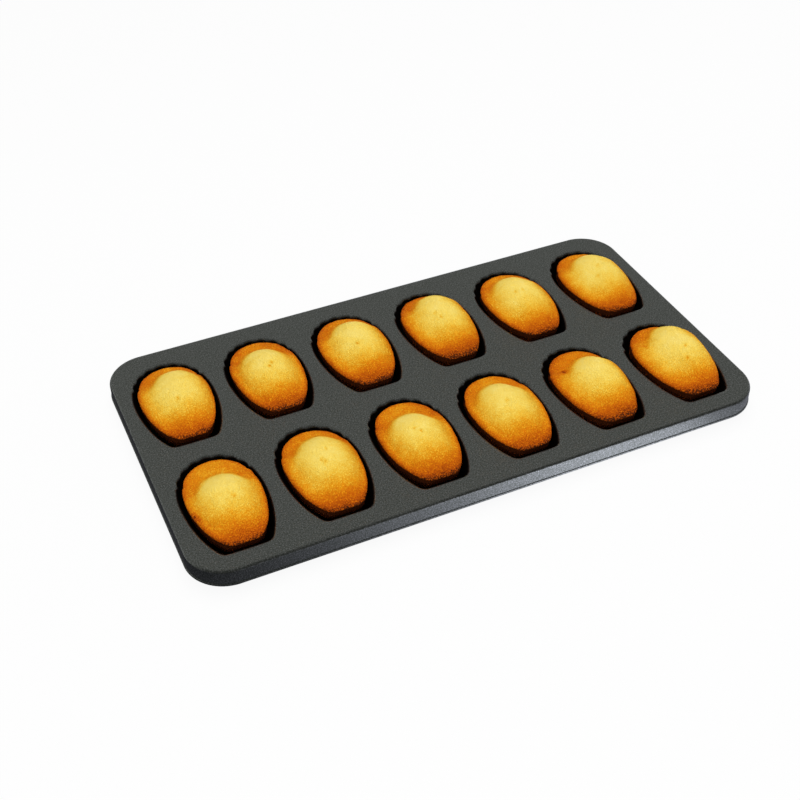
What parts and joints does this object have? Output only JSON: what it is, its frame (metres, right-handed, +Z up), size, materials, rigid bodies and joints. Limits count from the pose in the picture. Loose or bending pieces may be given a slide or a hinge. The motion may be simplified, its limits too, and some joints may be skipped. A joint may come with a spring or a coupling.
{
  "type": "madeleine pan",
  "caption": "Rectangular pressed steel baking pan with two rows of fluted shell-shaped cups, a turned-down rim and removable baked cakes.",
  "frame": {"origin": "middle of the pan's outline, on the surface that the cup floors stand on", "axes": "+X along the pan's length, +Y from the cups' narrow flat ends to their fluted ends, +Z up"},
  "size_m": [0.3688, 0.203, 0.0301],
  "materials": {
    "nonstick_steel": "satin",
    "baked_crumb": "matte"
  },
  "bodies": {
    "pan": {"deck_plate": "nonstick_steel", "rim_skirt": "nonstick_steel", "rim_hem": "nonstick_steel", "cup_front_1": "nonstick_steel", "cup_front_2": "nonstick_steel", "cup_front_3": "nonstick_steel", "cup_front_4": "nonstick_steel", "cup_front_5": "nonstick_steel", "cup_front_6": "nonstick_steel", "cup_back_1": "nonstick_steel", "cup_back_2": "nonstick_steel", "cup_back_3": "nonstick_steel", "cup_back_4": "nonstick_steel", "cup_back_5": "nonstick_steel", "cup_back_6": "nonstick_steel"},
    "cake_front_1": {"madeleine_front_1": "baked_crumb"},
    "cake_front_2": {"madeleine_front_2": "baked_crumb"},
    "cake_front_3": {"madeleine_front_3": "baked_crumb"},
    "cake_front_4": {"madeleine_front_4": "baked_crumb"},
    "cake_front_5": {"madeleine_front_5": "baked_crumb"},
    "cake_front_6": {"madeleine_front_6": "baked_crumb"},
    "cake_back_1": {"madeleine_back_1": "baked_crumb"},
    "cake_back_2": {"madeleine_back_2": "baked_crumb"},
    "cake_back_3": {"madeleine_back_3": "baked_crumb"},
    "cake_back_4": {"madeleine_back_4": "baked_crumb"},
    "cake_back_5": {"madeleine_back_5": "baked_crumb"},
    "cake_back_6": {"madeleine_back_6": "baked_crumb"}
  },
  "joints": [
    {"name": "lift_front_1", "type": "slide", "parent": "pan", "child": "cake_front_1", "axis": [0, 0, 1], "range_m": [0, 0.04]},
    {"name": "lift_front_2", "type": "slide", "parent": "pan", "child": "cake_front_2", "axis": [0, 0, 1], "range_m": [0, 0.04]},
    {"name": "lift_front_3", "type": "slide", "parent": "pan", "child": "cake_front_3", "axis": [0, 0, 1], "range_m": [0, 0.04]},
    {"name": "lift_front_4", "type": "slide", "parent": "pan", "child": "cake_front_4", "axis": [0, 0, 1], "range_m": [0, 0.04]},
    {"name": "lift_front_5", "type": "slide", "parent": "pan", "child": "cake_front_5", "axis": [0, 0, 1], "range_m": [0, 0.04]},
    {"name": "lift_front_6", "type": "slide", "parent": "pan", "child": "cake_front_6", "axis": [0, 0, 1], "range_m": [0, 0.04]},
    {"name": "lift_back_1", "type": "slide", "parent": "pan", "child": "cake_back_1", "axis": [0, 0, 1], "range_m": [0, 0.04]},
    {"name": "lift_back_2", "type": "slide", "parent": "pan", "child": "cake_back_2", "axis": [0, 0, 1], "range_m": [0, 0.04]},
    {"name": "lift_back_3", "type": "slide", "parent": "pan", "child": "cake_back_3", "axis": [0, 0, 1], "range_m": [0, 0.04]},
    {"name": "lift_back_4", "type": "slide", "parent": "pan", "child": "cake_back_4", "axis": [0, 0, 1], "range_m": [0, 0.04]},
    {"name": "lift_back_5", "type": "slide", "parent": "pan", "child": "cake_back_5", "axis": [0, 0, 1], "range_m": [0, 0.04]},
    {"name": "lift_back_6", "type": "slide", "parent": "pan", "child": "cake_back_6", "axis": [0, 0, 1], "range_m": [0, 0.04]}
  ]
}
